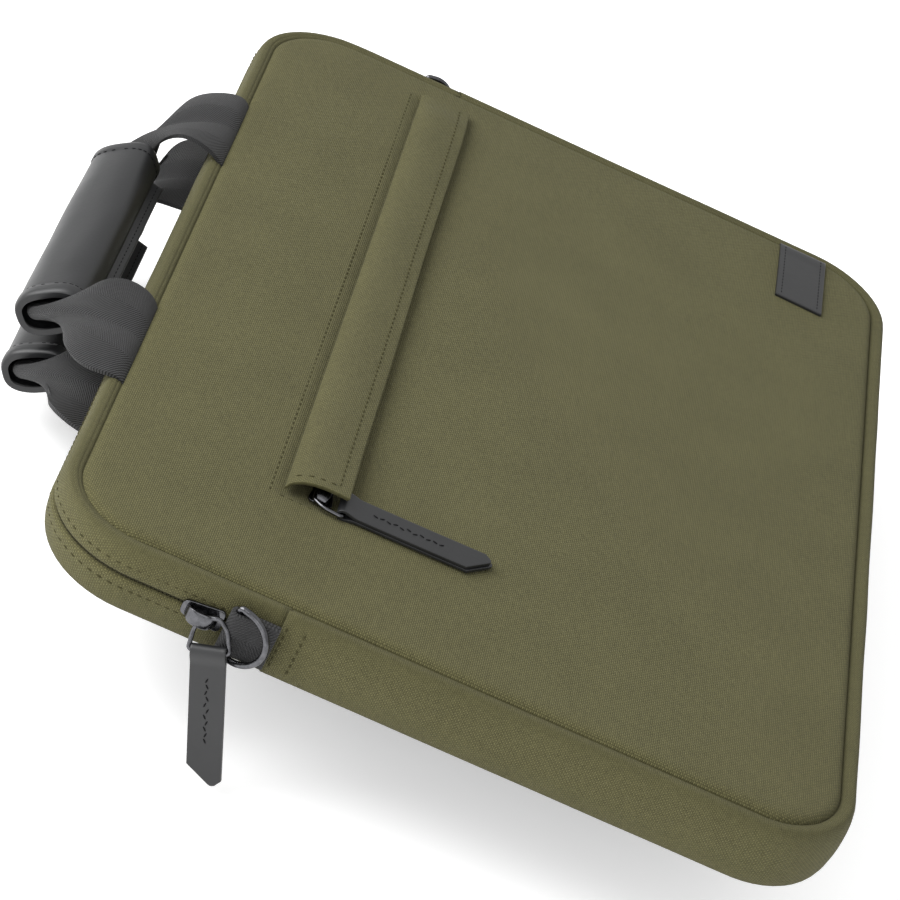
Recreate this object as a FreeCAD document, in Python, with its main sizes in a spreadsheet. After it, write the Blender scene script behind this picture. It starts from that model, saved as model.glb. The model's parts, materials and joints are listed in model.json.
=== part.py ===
import FreeCAD, Part
import math
import os
import re
from types import SimpleNamespace

# A padded laptop sleeve lying on its back: +X is the sleeve's right side, +Y is its top edge with the
# handles, +Z points out of its front face. The origin is the middle of the back face. Millimetres.

os.makedirs("parts", exist_ok=True)
doc = FreeCAD.newDocument("laptop_sleeve")

SIZES = {
    # seam outline of the front and back faces, and the gusset that joins them
    "seam_width": 360,
    "seam_height": 260,
    "seam_radius": 27,
    "gusset_depth": 25,
    "gusset_bulge": 6,
    "gusset_wall": 1.5,
    "side_seam_level": 55,
    "fold_level": 75,
    "fold_gap": 0.4,
    # layers of the padded faces
    "canvas": 1,
    "foam": 3.5,
    "lining": 0.6,
    "pocket_gap": 1.4,
    # main zip
    "zip_level": 13.2,
    "zip_gap": 1.6,
    "tape_width": 4.9,
    "tape_thick": 0.5,
    "tape_clearance": 0.1,
    "coil_width": 2,
    "coil_thick": 1.4,
    # sliders
    "plate_length": 13.5,
    "plate_width": 8.6,
    "plate_thick": 0.9,
    "plate_clearance": 0.55,
    "post_thick": 0.9,
    "post_length": 5,
    "foot_radius": 1,
    "foot_inset": 3,
    "main_foot_length": 6.8,
    "pocket_foot_length": 1.95,
    "bridge_width": 3.6,
    "bridge_thick": 0.95,
    "main_slider_level": 72.4,
    # pull rings and leather pullers
    "ring_wire": 0.7,
    "ring_half_width": 6.5,
    "ring_back": 2.05,
    "ring_reach": 8,
    "ring_corner": 0.9,
    "ring_clearance": 0.35,
    "main_hang_angle": 19.3,
    "puller_width": 11,
    "puller_thick": 2.4,
    "puller_length": 50,
    "puller_fold_radius": 2.1,
    "puller_bore_radius": 0.9,
    "puller_cut": 7.4,
    "puller_small_cut": 2.2,
    # front zip pocket under its storm flap
    "pocket_zip_level": 57.4,
    "pocket_zip_gap": 1.5,
    "pocket_coil_width": 1.55,
    "pocket_coil_thick": 1.2,
    "slit_width": 5,
    "slit_left": 130,
    "slit_right": 158,
    "pocket_tape_width": 7.6,
    "pocket_tape_overlap": 4,
    "pocket_slider_left": 127,
    "pocket_bag_bottom": 122,
    "pocket_bag_top": 68,
    "pocket_bag_right": 166,
    "pocket_bag_left": 150,
    "flap_left": 127,
    "flap_right": 162,
    "flap_sewn_level": 68.9,
    "flap_edge_level": 49.5,
    "flap_edge_lift": 5.8,
    "flap_arch": 2.6,
    "flap_thick": 1.6,
    "flap_root_lift": 1.1,
    # label
    "label_length": 45,
    "label_width": 20,
    "label_thick": 1.1,
    "label_level": -97,
    "label_seam_inset": 0.5,
    # D-ring tabs on the side gussets
    "tab_width": 16,
    "tab_webbing": 1.2,
    "tab_level": 12.5,
    "tab_pin_level": 69.3,
    "tab_clearance": 0.05,
    "dring_wire": 1.1,
    "dring_fit": 0.1,
    "dring_side_gap": 0.4,
    "dring_leg": 2,
    "dring_rest_angle": 20,
    # handles
    "strap_spacing": 78,
    "strap_width": 50,
    "strap_thick": 1.8,
    "strap_folded_width": 20,
    "strap_folded_thick": 7,
    "strap_outer_end": 66,
    "hinge_out": 1.5,
    "hinge_rise": 2,
    "handle_droop": 36.1,
    "handle_reach": 37,
    "back_handle_droop": 32.3,
    "back_handle_reach": 31.5,
    "grip_length": 114,
    "grip_width": 25,
    "grip_thick": 17,
    "grip_round": 6.5,
    "grip_fit": 0.3,
    "grip_offset": -1,
}

sheet = doc.addObject("Spreadsheet::Sheet", "Sizes")
for row, (alias, value) in enumerate(SIZES.items(), 1):
    sheet.set(f"A{row}", alias)
    sheet.set(f"B{row}", str(value))
    sheet.setAlias(f"B{row}", alias)
doc.recompute()

size = SimpleNamespace(**{alias: float(sheet.get(alias)) for alias in SIZES})
nodes = []


def cell(text):
    """Point every plain word of an expression at its cell of the sheet."""
    return re.sub(r"\b(?!(?:sin|cos|deg)\b)([a-z]\w*)", r"Sizes.\1", str(text))


def bind(thing, **properties):
    """Bind properties of a document object to expressions; px, py and pz are its position."""
    places = {"px": "Placement.Base.x", "py": "Placement.Base.y", "pz": "Placement.Base.z"}
    for name, text in properties.items():
        thing.setExpression(places.get(name, name), cell(text))
    return thing


def node(name, thing):
    """Name a finished sub-part; the label is its file's name."""
    thing.Label = name
    nodes.append(thing)
    return thing


def block(name, low, high):
    """A box from its low corner to its high corner, each given as three expressions."""
    sides = {side: f"({b}) - ({a})" for side, a, b in zip(("Length", "Width", "Height"), low, high)}
    return bind(doc.addObject("Part::Box", name), px=low[0], py=low[1], pz=low[2], **sides)


def rod(name, start, length, radius, direction=(0, 0, 1)):
    """A cylinder from a start point along a direction."""
    made = doc.addObject("Part::Cylinder", name)
    turn = FreeCAD.Rotation(FreeCAD.Vector(0, 0, 1), FreeCAD.Vector(*direction))
    made.Placement = FreeCAD.Placement(FreeCAD.Vector(), turn)
    return bind(made, px=start[0], py=start[1], pz=start[2], Height=length, Radius=radius)


def cut(name, base, tool):
    made = doc.addObject("Part::Cut", name)
    made.Base = base
    made.Tool = tool
    return made


def common(name, base, tool):
    made = doc.addObject("Part::Common", name)
    made.Base = base
    made.Tool = tool
    return made


def fuse(name, *shapes):
    made = doc.addObject("Part::MultiFuse", name)
    made.Shapes = list(shapes)
    made.Refine = True
    return made


def edge_names(feature, wanted):
    """Names of the edges of a feature whose two end points pass a test."""
    doc.recompute()
    ends = [[vertex.Point for vertex in edge.Vertexes] for edge in feature.Shape.Edges]
    return [f"Edge{n}" for n, points in enumerate(ends, 1) if len(points) == 2 and wanted(*points)]


def upright(a, b):
    """A test for every edge that runs along Z."""
    return abs(a.x - b.x) < 1e-6 and abs(a.y - b.y) < 1e-6


def outer_corner(a, b):
    """A test for the upright edges at the sleeve's own corners, not at a cut across it."""
    return upright(a, b) and abs(a.y) > size.seam_height / 2 - 1e-6


def slab(name, low, high, radius=None, corners=upright):
    """A PartDesign slab between two corners, with some of its upright edges rounded."""
    body = doc.addObject("PartDesign::Body", name)
    base = body.newObject("PartDesign::AdditiveBox", name + "_block")
    sides = {side: f"({b}) - ({a})" for side, a, b in zip(("Length", "Width", "Height"), low, high)}
    bind(base, px=low[0], py=low[1], pz=low[2], **sides)
    if radius:
        rounded = body.newObject("PartDesign::Fillet", name + "_corners")
        rounded.Base = (base, edge_names(base, corners))
        bind(rounded, Radius=radius)
    return body


def outline_slab(name, bottom, top, offset="0", lower=None, upper=None):
    """A slab with the seam outline, grown by an offset, between two heights and two levels."""
    half = f"seam_width / 2 + {offset}"
    reach = f"seam_height / 2 + {offset}"
    low = (f"-({half})", lower or f"-({reach})", bottom)
    high = (half, upper or reach, top)
    return slab(name, low, high, f"seam_radius + {offset}", outer_corner)


# levels of the layers, from the back face up
BACK_FOAM_LEVEL = "canvas"
BACK_LINING_LEVEL = "canvas + foam"
BACK_STACK = "canvas + foam + lining"
PANEL_LEVEL = "gusset_depth - canvas"
BAG_TOP = "gusset_depth - canvas - pocket_gap"
BAG_LEVEL = "gusset_depth - canvas - pocket_gap - lining"
FRONT_FOAM_LEVEL = "gusset_depth - canvas - pocket_gap - lining - foam"
FRONT_LINING_LEVEL = "gusset_depth - canvas - pocket_gap - 2 * lining - foam"
FOLD_BELOW = "fold_level - fold_gap / 2"
FOLD_ABOVE = "fold_level + fold_gap / 2"
BACK_STRIP_EDGE = "zip_level - zip_gap / 2"
FRONT_STRIP_EDGE = "zip_level + zip_gap / 2"


def padded_faces():
    """The back face, the front face below its fold and the flap of it above: canvas, foam, lining."""
    node("back_panel", outline_slab("back_panel", "0", "canvas"))
    node("back_foam", outline_slab("back_foam", BACK_FOAM_LEVEL, BACK_LINING_LEVEL))
    node("back_lining", outline_slab("back_lining", BACK_LINING_LEVEL, BACK_STACK))
    node("front_foam", outline_slab("front_foam", FRONT_FOAM_LEVEL, BAG_LEVEL, upper=FOLD_BELOW))
    node("front_lining", outline_slab("front_lining", FRONT_LINING_LEVEL, FRONT_FOAM_LEVEL, upper=FOLD_BELOW))
    node("front_top_panel", outline_slab("front_top_panel", PANEL_LEVEL, "gusset_depth", lower=FOLD_ABOVE))
    node("front_top_foam", outline_slab("front_top_foam", FRONT_FOAM_LEVEL, PANEL_LEVEL, lower=FOLD_ABOVE))
    node("front_top_lining",
         outline_slab("front_top_lining", FRONT_LINING_LEVEL, FRONT_FOAM_LEVEL, lower=FOLD_ABOVE))
    whole = outline_slab("front_panel_blank", PANEL_LEVEL, "gusset_depth", upper=FOLD_BELOW)
    slit = block("pocket_slit",
                 ("-slit_left", "pocket_zip_level - slit_width / 2", "gusset_depth - 2 * canvas"),
                 ("slit_right", "pocket_zip_level + slit_width / 2", "gusset_depth + canvas"))
    node("front_panel", cut("front_panel", whole, slit))
    node("pocket_bag", slab("pocket_bag", ("-pocket_bag_left", "-pocket_bag_bottom", BAG_LEVEL),
                            ("pocket_bag_right", "pocket_bag_top", BAG_TOP), "seam_radius / 3"))


def round_all(a, b):
    """A test for every edge that lies flat at the low or high face of a slab."""
    return abs(a.z - b.z) < 1e-6


def bulged(name, offset, bottom, top, rounding):
    """A solid with the seam outline grown by an offset, its front and back edges rounded over."""
    body = outline_slab(name, bottom, top, offset)
    rolled = body.newObject("PartDesign::Fillet", name + "_rolled")
    rolled.Base = (body.Group[-2], edge_names(body.Group[-2], round_all))
    bind(rolled, Radius=rounding)
    body.Tip = rolled
    return body


def span(name, lower, upper, bottom, top):
    """A box wider than the sleeve, between two levels and two heights."""
    side = "seam_width / 2 + 2 * gusset_bulge"
    return block(name, (f"-({side})", lower, bottom), (side, upper, top))


def gusset():
    """The band round the edge: one piece round the bottom, and a strip each side of the zip."""
    outer = bulged("gusset_outer", "gusset_bulge", "0", "gusset_depth", "gusset_bulge")
    inner = bulged("gusset_inner", "gusset_bulge - gusset_wall", "gusset_wall",
                   "gusset_depth - gusset_wall", "gusset_bulge - gusset_wall")
    wall = cut("gusset_wall_band", outer, inner)
    band = cut("gusset_band", wall, outline_slab("gusset_core", "-canvas", "gusset_depth + canvas"))
    far_down = "-seam_height"
    far_up = "seam_height"
    pieces = {
        "bottom_gusset": (far_down, "side_seam_level", "-canvas", "gusset_depth + canvas"),
        "back_zip_gusset": ("side_seam_level", far_up, "-canvas", BACK_STRIP_EDGE),
        "front_gusset_ends": ("side_seam_level", FOLD_BELOW, FRONT_STRIP_EDGE, "gusset_depth + canvas"),
        "front_zip_gusset": (FOLD_ABOVE, far_up, FRONT_STRIP_EDGE, "gusset_depth + canvas"),
    }
    for name, box in pieces.items():
        node(name, common(name, band, span(name + "_span", *box)))


def inner_band(name, outer, inner, lower, bottom, top):
    """A thin band inside the gusset's wall, above a level, between two offsets from the seam."""
    around = outline_slab(name + "_outer", bottom, top, outer)
    within = outline_slab(name + "_inner", f"{bottom} - lining", f"{top} + lining", inner)
    band = cut(name + "_band", around, within)
    reach = span(name + "_span", lower, "seam_height", f"{bottom} - lining", f"{top} + lining")
    node(name, common(name, band, reach))


def main_zip():
    """Tape and coil of each half, inside the zip gussets."""
    tape_out = "gusset_bulge - gusset_wall - tape_clearance"
    tape_in = tape_out + " - tape_thick"
    coil_in = tape_in + " - coil_thick"
    halves = {
        "back": ("side_seam_level", f"{BACK_STRIP_EDGE} - tape_width", BACK_STRIP_EDGE,
                 f"{BACK_STRIP_EDGE} - coil_width", BACK_STRIP_EDGE),
        "front": (FOLD_ABOVE, FRONT_STRIP_EDGE, f"{FRONT_STRIP_EDGE} + tape_width",
                  FRONT_STRIP_EDGE, f"{FRONT_STRIP_EDGE} + coil_width"),
    }
    for half, (lower, tape_low, tape_high, coil_low, coil_high) in halves.items():
        inner_band(f"{half}_zip_tape", tape_out, tape_in, lower, tape_low, tape_high)
        inner_band(f"{half}_zip_coil", tape_in, coil_in, lower, coil_low, coil_high)


def pocket_zip():
    """Two tapes behind the front panel, and a coil on each in the slit."""
    edge = "pocket_zip_gap / 2"
    left = "-(slit_left + pocket_tape_overlap)"
    right = "slit_right + pocket_tape_overlap"
    tape_low = PANEL_LEVEL + " - tape_thick"
    coil_high = PANEL_LEVEL + " + pocket_coil_thick"
    upper_tape = block("pocket_tape_upper", (left, f"pocket_zip_level + {edge}", tape_low),
                       (right, f"pocket_zip_level + {edge} + pocket_tape_width", PANEL_LEVEL))
    lower_tape = block("pocket_tape_lower",
                       (left, f"pocket_zip_level - {edge} - pocket_tape_width", tape_low),
                       (right, f"pocket_zip_level - {edge}", PANEL_LEVEL))
    upper_coil = block("pocket_coil_upper", ("-slit_left", f"pocket_zip_level + {edge}", PANEL_LEVEL),
                       ("slit_right", f"pocket_zip_level + {edge} + pocket_coil_width", coil_high))
    lower_coil = block("pocket_coil_lower",
                       ("-slit_left", f"pocket_zip_level - {edge} - pocket_coil_width", PANEL_LEVEL),
                       ("slit_right", f"pocket_zip_level - {edge}", coil_high))
    node("pocket_zip_tape", fuse("pocket_zip_tape", upper_tape, lower_tape))
    node("pocket_zip_coil", fuse("pocket_zip_coil", upper_coil, lower_coil))


def label():
    """A plain leather patch sewn into the right side seam."""
    far = "seam_width / 2 - label_seam_inset"
    patch = block("label_patch", (f"{far} - label_length", "label_level - label_width / 2", "gusset_depth"),
                  (far, "label_level + label_width / 2", "gusset_depth + label_thick"))
    node("label_patch", patch)


def storm_flap():
    """Two layers of canvas arched over the pocket zip, sewn along their upper edge."""
    root_lift = size.gusset_depth + size.flap_root_lift
    root = FreeCAD.Vector(0, size.flap_sewn_level, root_lift)
    edge = FreeCAD.Vector(0, size.flap_edge_level, size.gusset_depth + size.flap_edge_lift)
    across = (edge - root).normalize()
    out = FreeCAD.Vector(1, 0, 0).cross(across)
    if out.z < 0:
        out = -out
    crest = (root + edge) / 2 + out * size.flap_arch
    half = size.flap_thick / 2
    centre = Part.Arc(root, crest, edge).toShape().Curve.Center

    def shifted(point, distance):
        return point + (point - centre).normalize() * distance

    faces = [[shifted(p, side * half) for p in (root, crest, edge)] for side in (1, -1)]
    over = Part.Arc(*faces[0]).toShape()
    under = Part.Arc(*faces[1]).toShape()
    hem = Part.LineSegment(faces[0][2], faces[1][2]).toShape()
    along = (root - centre).cross(FreeCAD.Vector(1, 0, 0)).normalize()
    if along.dot(crest - root) > 0:
        along = -along
    end = Part.Arc(faces[1][0], root + along * half, faces[0][0]).toShape()
    outline = Part.Wire(Part.__sortEdges__([over, hem, under, end]))
    flap = doc.addObject("Part::Feature", "storm_flap")
    flap.Shape = Part.Face(outline).extrude(FreeCAD.Vector(size.flap_left + size.flap_right, 0, 0))
    flap.Placement = FreeCAD.Placement(FreeCAD.Vector(-size.flap_left, 0, 0), FreeCAD.Rotation())
    node("storm_flap", flap)


def slider(name, inner_gap, foot_length):
    """A zip slider, built flat: it runs along X, its zip's middle is Y = 0 and its outer plate starts
    at Z = 0. The inner plate and the post that joins them are below."""
    half = "plate_width / 2"
    outer = slab(name + "_outer", ("0", f"-{half}", "0"), ("plate_length", half, "plate_thick"),
                 "plate_width / 4")
    inner = slab(name + "_inner", ("0", f"-{half} + ring_clearance", f"-({inner_gap}) - plate_thick * 2 / 3"),
                 ("plate_length", f"{half} - ring_clearance", f"-({inner_gap})"), "plate_width / 4")
    post = block(name + "_post", ("plate_length / 2", "-post_thick / 2", f"-({inner_gap}) - plate_thick / 3"),
                 ("plate_length / 2 + post_length", "post_thick / 2", "plate_thick / 2"))
    reach = f"{foot_length} + plate_thick / 2 + bridge_thick / 2"
    feet = [rod(f"{name}_foot_{n}", (x, "0", "plate_thick / 2"), reach, "foot_radius")
            for n, x in enumerate(("foot_inset", "plate_length - foot_inset + foot_radius"))]
    bridge = slab(name + "_bridge",
                  ("foot_inset - 2 * foot_radius", "-bridge_width / 2", f"plate_thick + {foot_length}"),
                  ("plate_length - foot_inset + 3 * foot_radius", "bridge_width / 2",
                   f"plate_thick + {foot_length} + bridge_thick"), "bridge_width / 4")
    return node(name, fuse(name, outer, inner, post, *feet, bridge))


def pull_ring(name):
    """A wire ring round a slider's foot, which is at its origin; it hangs towards -Y."""
    wide = size.ring_half_width
    corners = [FreeCAD.Vector(x, y, 0) for x, y in ((-wide, size.ring_back), (wide, size.ring_back),
                                                    (wide, -size.ring_reach), (-wide, -size.ring_reach))]
    ring = doc.addObject("Part::Feature", name)
    ring.Shape = wire_ring(corners, size.ring_corner, size.ring_wire)
    return node(name, ring)


def wire_ring(corners, bend, radius):
    """A closed round wire through the corners of a flat shape, each corner bent."""
    edges = []
    starts = []
    ends = []
    for n, corner in enumerate(corners):
        back = (corners[n - 1] - corner).normalize()
        ahead = (corners[(n + 1) % len(corners)] - corner).normalize()
        inward = (back + ahead).normalize()
        starts.append(corner + back * bend)
        ends.append(corner + ahead * bend)
        centre = corner + inward * bend * math.sqrt(2)
        edges.append(Part.Arc(starts[-1], centre - inward * bend, ends[-1]).toShape())
    for n in range(len(corners)):
        edges.append(Part.LineSegment(ends[n - 1], starts[n]).toShape())
    path = Part.Wire(Part.__sortEdges__(edges))
    first = (ends[0] + starts[1]) / 2
    return swept_wire(path, first, starts[1] - ends[0], radius)


def swept_wire(path, point, direction, radius):
    """A round section swept along a closed path, from a point on one of its straight edges."""
    profile = Part.Wire(Part.Circle(point, direction, radius).toShape())
    straight = [edge for edge in path.Edges if edge.distToShape(Part.Vertex(point))[0] < 1e-6][0]
    rest = [edge for edge in path.Edges if not edge.isSame(straight)]
    ends = [vertex.Point for vertex in straight.Vertexes]
    halves = [Part.LineSegment(point, end).toShape() for end in ends]
    opened = Part.Wire(Part.__sortEdges__([halves[0], *rest, halves[1]]))
    if (opened.OrderedVertexes[0].Point - point).Length > 1e-6:
        raise RuntimeError("the wire's path does not start at its section")
    return opened.makePipeShell([profile], True, True)


def puller(name):
    """A folded leather strip on a ring's far bar, which is its origin and X axis; it hangs towards -Y,
    with a slanted tip."""
    half = "puller_width / 2"
    thick = "puller_thick / 2"
    strip = slab(name + "_strip", (f"-{half}", "-puller_length", f"-{thick}"), (half, "0", thick), None)
    body_chamfer(strip, name + "_tip", lambda a, b: flat_corner(a, b, -1), "puller_cut")
    body_chamfer(strip, name + "_corner", lambda a, b: flat_corner(a, b, 1), "puller_small_cut")
    fold = rod(name + "_fold", (f"-{half}", "0", "0"), "puller_width", "puller_fold_radius", (1, 0, 0))
    bore = rod(name + "_bore", (f"-{half} - 1", "0", "0"), "puller_width + 2", "puller_bore_radius",
               (1, 0, 0))
    return node(name, cut(name, fuse(name + "_folded", strip, fold), bore))


def flat_corner(a, b, side):
    """Whether an edge is the upright one at the far tip of a strip, on one side."""
    return upright(a, b) and abs(a.x - side * size.puller_width / 2) < 1e-6 and a.y < -size.puller_fold_radius


def body_chamfer(body, name, wanted, width):
    """Cut a corner of a body's last feature."""
    base = body.Tip
    chamfer = body.newObject("PartDesign::Chamfer", name)
    chamfer.Base = (base, edge_names(base, wanted))
    bind(chamfer, Size=width)
    return chamfer


def place(thing, base, *turns):
    """Stand a sub-part at a point, turned by each axis and angle in order."""
    turned = FreeCAD.Rotation()
    for axis, angle in turns:
        turned = FreeCAD.Rotation(FreeCAD.Vector(*axis), angle).multiply(turned)
    thing.Placement = FreeCAD.Placement(FreeCAD.Vector(*base), turned)


def main_pull():
    """The main zip's slider on the left side, with its ring and puller hanging past the back."""
    outside = size.seam_width / 2 + size.gusset_bulge
    gap = "gusset_wall + tape_clearance + tape_thick + coil_thick + 2 * plate_clearance"
    made = slider("main_slider", gap, "main_foot_length")
    start = size.main_slider_level
    to_side = [((0, 0, 1), 90), ((0, 1, 0), -90)]
    place(made, (-outside - size.plate_clearance, start, size.zip_level), *to_side)
    ring = pull_ring("main_pull_ring")
    foot = start + size.foot_inset
    ring_level = -outside - size.plate_clearance - size.plate_thick - size.main_foot_length
    ring_level += size.ring_clearance + size.ring_wire
    hang = [((0, 1, 0), -90), ((1, 0, 0), 90 - size.main_hang_angle)]
    place(ring, (ring_level, foot, size.zip_level), *hang)
    leather = puller("main_puller")
    angle = math.radians(size.main_hang_angle)
    bar_y = foot - size.ring_reach * math.sin(angle)
    bar_z = size.zip_level - size.ring_reach * math.cos(angle)
    place(leather, (ring_level, bar_y, bar_z), *hang)


def pocket_pull():
    """The pocket's slider at the left end of its zip, with its ring and puller lying down the front."""
    gap = "canvas + tape_thick + plate_clearance + tape_clearance"
    made = slider("pocket_slider", gap, "pocket_foot_length")
    plate_level = size.gusset_depth + size.plate_clearance
    place(made, (-size.pocket_slider_left, size.pocket_zip_level, plate_level))
    ring_level = plate_level + size.plate_thick + size.pocket_foot_length
    ring_level -= size.ring_clearance + size.ring_wire
    foot = size.foot_inset - size.pocket_slider_left
    place(pull_ring("pocket_pull_ring"), (foot, size.pocket_zip_level, ring_level))
    place(puller("pocket_puller"), (foot, size.pocket_zip_level - size.ring_reach, ring_level))


def ring_tabs():
    """A folded webbing tab and its D-ring on each side, out of the side gusset's seam."""
    for side, name in ((-1, "left"), (1, "right")):
        outside = "seam_width / 2 + gusset_bulge + tab_clearance"
        fold_radius = "dring_wire + dring_fit + tab_webbing"
        low_z = "tab_level - tab_width / 2"
        pin_x = f"{side} * ({outside} + {fold_radius})"
        inner_x, outer_x = (pin_x, f"-({outside})") if side < 0 else (outside, pin_x)
        flat = block(f"{name}_tab_flat", (inner_x, "side_seam_level + tab_clearance", low_z),
                     (outer_x, "tab_pin_level", "tab_level + tab_width / 2"))
        fold = rod(f"{name}_tab_fold", (pin_x, "tab_pin_level", low_z), "tab_width", fold_radius)
        bore = rod(f"{name}_tab_bore", (pin_x, "tab_pin_level", f"{low_z} - 1"), "tab_width + 2",
                   "dring_wire + dring_fit")
        node(f"{name}_ring_tab", cut(f"{name}_ring_tab", fuse(f"{name}_tab", flat, fold), bore))
        ring = doc.addObject("Part::Feature", f"{name}_d_ring")
        ring.Shape = d_ring()
        pin = size.seam_width / 2 + size.gusset_bulge + size.tab_clearance
        pin += size.dring_wire + size.dring_fit + size.tab_webbing
        turn = ((0, 0, 1), side * size.dring_rest_angle)
        place(ring, (side * pin, size.tab_pin_level, size.tab_level), turn)
        node(f"{name}_d_ring", ring)


def d_ring():
    """A D of round wire: its bar is the Z axis, and its bow reaches towards -Y."""
    half = size.tab_width / 2 + size.dring_side_gap + size.dring_wire
    leg = size.dring_leg
    bend = size.dring_wire
    top, low = FreeCAD.Vector(0, 0, half), FreeCAD.Vector(0, 0, -half)
    down = FreeCAD.Vector(0, -1, 0)
    turn = math.sqrt(0.5) * bend
    upper = Part.Arc(top - FreeCAD.Vector(0, 0, bend), top + FreeCAD.Vector(0, turn - bend, turn - bend),
                     top + down * bend)
    lower = Part.Arc(low + down * bend, low + FreeCAD.Vector(0, turn - bend, bend - turn),
                     low + FreeCAD.Vector(0, 0, bend))
    bow = Part.Arc(top + down * (leg + bend), down * (leg + bend + half), low + down * (leg + bend))
    legs = [Part.LineSegment(top + down * bend, top + down * (leg + bend)),
            Part.LineSegment(low + down * (leg + bend), low + down * bend)]
    bar = Part.LineSegment(low + FreeCAD.Vector(0, 0, bend), top - FreeCAD.Vector(0, 0, bend))
    path = Part.Wire(Part.__sortEdges__([e.toShape() for e in (upper, legs[0], bow, legs[1], lower, bar)]))
    return swept_wire(path, FreeCAD.Vector(), FreeCAD.Vector(0, 0, 1), size.dring_wire)


def handle(name, level, side, reach, droop):
    """A handle out of the top seam: a folded strap whose ends are sewn in, through a leather grip.
    It is built flat, out along +Y from its hinge line as far as reach says, and then droops."""
    half_grip = "grip_length / 2"
    thin = "strap_thick / 2"
    folded = "strap_folded_thick / 2"
    far = reach + " + strap_folded_width / 2"
    ends = []
    for way, end in ((-1, "left"), (1, "right")):
        foot_low = f"{way} * strap_spacing - strap_width / 2"
        foot_high = f"{way} * strap_spacing + strap_width / 2"
        tip = (f"grip_offset + {way} * {half_grip} - strap_folded_width / 2",
               f"grip_offset + {way} * {half_grip} + strap_folded_width / 2")
        fan = doc.addObject("Part::Wedge", f"{name}_{end}_fan")
        bind(fan, Xmin=foot_low, Xmax=foot_high, Ymin=0, Ymax=far, Zmin="-" + thin, Zmax=thin,
             X2min=tip[0], X2max=tip[1], Z2min="-" + folded, Z2max=folded)
        root = rod(f"{name}_{end}_root", (foot_low, "0", "0"), "strap_width", thin, (1, 0, 0))
        ends.extend((fan, root))
    clear = "grip_fit"
    room = block(f"{name}_room", (f"grip_offset - {half_grip} - {clear}", "-grip_width", "-grip_width"),
                 (f"grip_offset + {half_grip} + {clear}", f"2 * {reach}", "grip_width"))
    beyond = cut(f"{name}_strap_ends", fuse(f"{name}_fans", *ends), room)
    near = reach + " - strap_folded_width / 2"
    core = block(f"{name}_core", ("-strap_outer_end", near, "-" + folded), ("strap_outer_end", far, folded))
    strap = node(f"{name}_strap", fuse(f"{name}_strap", beyond, core))
    grip = slab(f"{name}_grip_leather", (f"grip_offset - {half_grip}", f"{reach} - grip_width / 2",
                                         "-grip_thick / 2"),
                (f"grip_offset + {half_grip}", f"{reach} + grip_width / 2", "grip_thick / 2"))
    rounded = grip.newObject("PartDesign::Fillet", f"{name}_grip_rounded")
    along = edge_names(grip.Group[0], lambda a, b: abs(a.y - b.y) < 1e-6 and abs(a.z - b.z) < 1e-6)
    rounded.Base = (grip.Group[0], along)
    bind(rounded, Radius="grip_round")
    grip.Tip = rounded
    hollow = block(f"{name}_hollow", ("-strap_outer_end", f"{near} - {clear}", f"-{folded} - {clear}"),
                   ("strap_outer_end", f"{far} + {clear}", f"{folded} + {clear}"))
    leather = node(f"{name}_grip", cut(f"{name}_grip", grip, hollow))
    hinge = (0, size.seam_height / 2 + size.hinge_out, level + side * size.hinge_rise)
    for thing in (strap, leather):
        place(thing, hinge, ((1, 0, 0), -droop))


def finish():
    """Check every object and sub-part, then write each sub-part's file."""
    doc.recompute()
    for thing in doc.Objects:
        if "Invalid" in thing.State or "Error" in thing.State:
            raise RuntimeError(f"{thing.Name} did not compute: {thing.State}")
    for thing in nodes:
        if thing.Shape.isNull() or not thing.Shape.isValid() or not thing.Shape.Solids:
            raise RuntimeError(f"{thing.Label} has no valid solid")
        thing.Shape.exportStep(f"parts/{thing.Label}.step")
        print(f"{thing.Label:22s} {len(thing.Shape.Solids)} solid(s) {thing.Shape.Volume:12.1f} mm3")


padded_faces()
gusset()
main_zip()
pocket_zip()
label()
storm_flap()
main_pull()
pocket_pull()
ring_tabs()
handle("front_handle", size.gusset_depth, 1, "handle_reach", size.handle_droop)
handle("back_handle", 0, -1, "back_handle_reach", size.back_handle_droop)
finish()
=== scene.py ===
import bpy
import bmesh
import json
import math
from mathutils import Matrix, Vector, noise


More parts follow.
